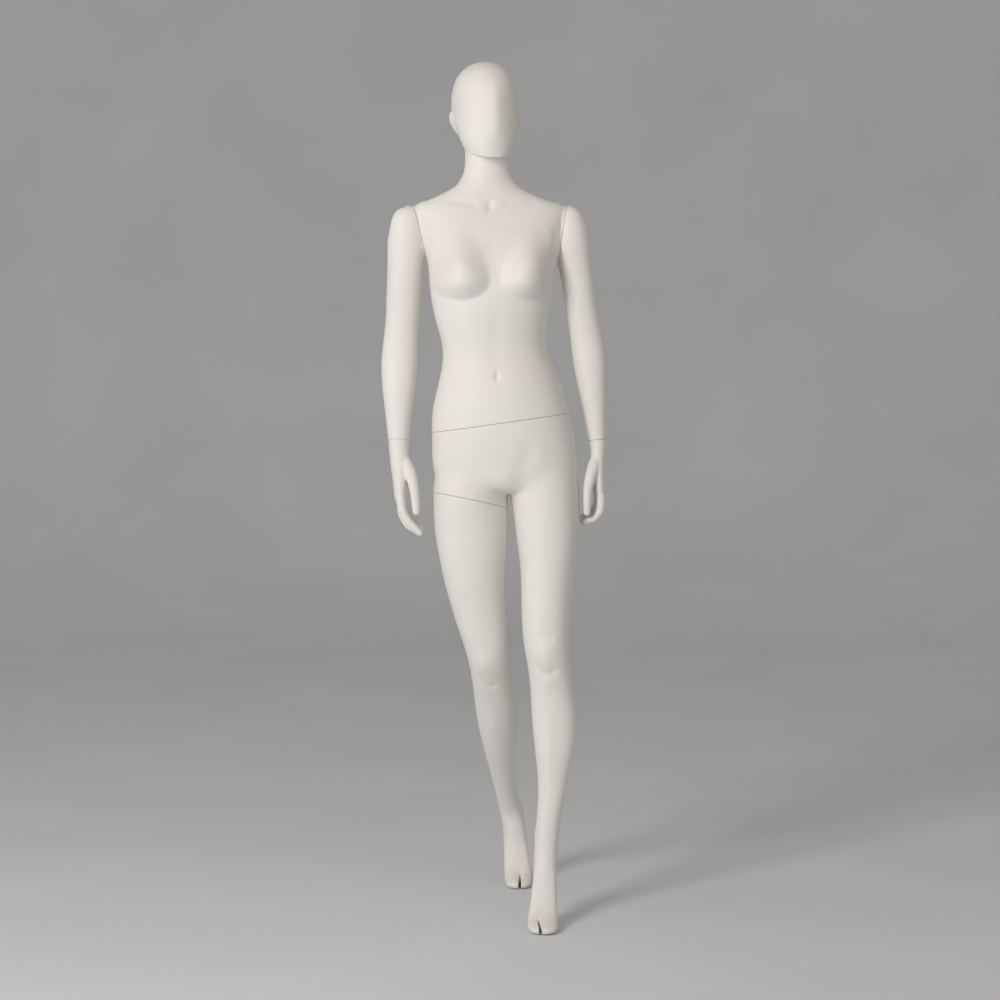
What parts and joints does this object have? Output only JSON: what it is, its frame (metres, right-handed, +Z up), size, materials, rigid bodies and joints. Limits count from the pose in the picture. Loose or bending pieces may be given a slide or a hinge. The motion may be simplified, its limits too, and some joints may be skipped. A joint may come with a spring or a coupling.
{
  "type": "full body mannequin",
  "caption": "Female display mannequin in walking pose on tiptoe, blank egg head, hollow shells that come apart at neck, shoulders, wrists, waist and thigh.",
  "frame": {"origin": "mouth of the foot socket, on the raised sole under the left heel, 76 mm above the floor", "axes": "+Z up along the figure and the foot socket, -Y the way the figure walks, +X towards its left side"},
  "size_m": [0.4878, 0.61, 1.8322],
  "materials": {
    "laminate": "matte off-white sprayed finish on glass-fibre laminate",
    "board": "raw fibreboard, sawn edges",
    "steel": "turned steel, zinc plated",
    "magnet": "nickel plated disc",
    "screws": "zinc plated countersunk wood screws"
  },
  "bodies": {
    "lower_body": {"lower_body_shell": "laminate", "waist_socket_board": "board", "waist_socket": "steel", "waist_magnet": "magnet", "waist_socket_screws": "screws", "thigh_socket_board": "board", "thigh_socket": "steel", "thigh_magnet": "magnet", "thigh_socket_screws": "screws", "foot_socket_tube": "steel", "calf_socket_tube": "steel", "calf_socket_block": "board"},
    "torso": {"torso_shell": "laminate", "waist_spigot_board": "board", "waist_spigot": "steel", "waist_spigot_screws": "screws", "right_shoulder_socket_board": "board", "right_shoulder_socket": "steel", "right_shoulder_magnet": "magnet", "right_shoulder_socket_screws": "screws", "left_shoulder_socket_board": "board", "left_shoulder_socket": "steel", "left_shoulder_magnet": "magnet", "left_shoulder_socket_screws": "screws", "neck_socket_board": "board", "neck_socket": "steel", "neck_magnet": "magnet", "neck_socket_screws": "screws"},
    "right_leg": {"right_leg_shell": "laminate", "thigh_spigot_board": "board", "thigh_spigot": "steel", "thigh_spigot_screws": "screws"},
    "right_arm": {"right_arm_shell": "laminate", "right_shoulder_spigot_board": "board", "right_shoulder_spigot": "steel", "right_shoulder_spigot_screws": "screws", "right_wrist_socket_board": "board", "right_wrist_socket": "steel", "right_wrist_magnet": "magnet", "right_wrist_socket_screws": "screws"},
    "left_arm": {"left_arm_shell": "laminate", "left_shoulder_spigot_board": "board", "left_shoulder_spigot": "steel", "left_shoulder_spigot_screws": "screws", "left_wrist_socket_board": "board", "left_wrist_socket": "steel", "left_wrist_magnet": "magnet", "left_wrist_socket_screws": "screws"},
    "right_wrist_fitting": {"right_wrist_pin": "steel"},
    "left_wrist_fitting": {"left_wrist_pin": "steel"},
    "right_hand": {"right_hand": "laminate"},
    "left_hand": {"left_hand": "laminate"},
    "neck_fitting": {"neck_pin": "steel"},
    "head": {"head_shell": "laminate", "head_bearing_block": "board"}
  },
  "joints": [
    {"name": "waist_lift", "type": "slide", "parent": "lower_body", "child": "torso", "axis": [0, 0, 1], "range_m": [0, 0.08]},
    {"name": "right_leg_drop", "type": "slide", "parent": "lower_body", "child": "right_leg", "axis": [0, 0, -1], "range_m": [0, 0.07]},
    {"name": "right_arm_off", "type": "slide", "parent": "torso", "child": "right_arm", "axis": [-0.9693, -0.068, -0.2361], "range_m": [0, 0.055]},
    {"name": "left_arm_off", "type": "slide", "parent": "torso", "child": "left_arm", "axis": [0.9869, -0.068, -0.146], "range_m": [0, 0.055]},
    {"name": "right_hand_off", "type": "slide", "parent": "right_arm", "child": "right_wrist_fitting", "axis": [0, -0.14, -0.9901], "range_m": [0, 0.03]},
    {"name": "left_hand_off", "type": "slide", "parent": "left_arm", "child": "left_wrist_fitting", "axis": [0.0904, -0.0502, -0.9946], "range_m": [0, 0.03]},
    {"name": "right_hand_turn", "type": "hinge", "parent": "right_wrist_fitting", "child": "right_hand", "pos_m": [-0.3165, 0.042, 0.949], "axis": [0, -0.14, -0.9901], "range_deg": [-40, 40]},
    {"name": "left_hand_turn", "type": "hinge", "parent": "left_wrist_fitting", "child": "left_hand", "pos_m": [0.1115, 0.075, 0.949], "axis": [0.0904, -0.0502, -0.9946], "range_deg": [-12, 8]},
    {"name": "neck_lift", "type": "slide", "parent": "torso", "child": "neck_fitting", "axis": [0.0885, -0.3303, 0.9397], "range_m": [0, 0.05]},
    {"name": "head_turn", "type": "hinge", "parent": "neck_fitting", "child": "head", "pos_m": [-0.12591, 0.04867, 1.57493], "axis": [0.0885, -0.3303, 0.9397], "range_deg": [-60, 60]}
  ]
}
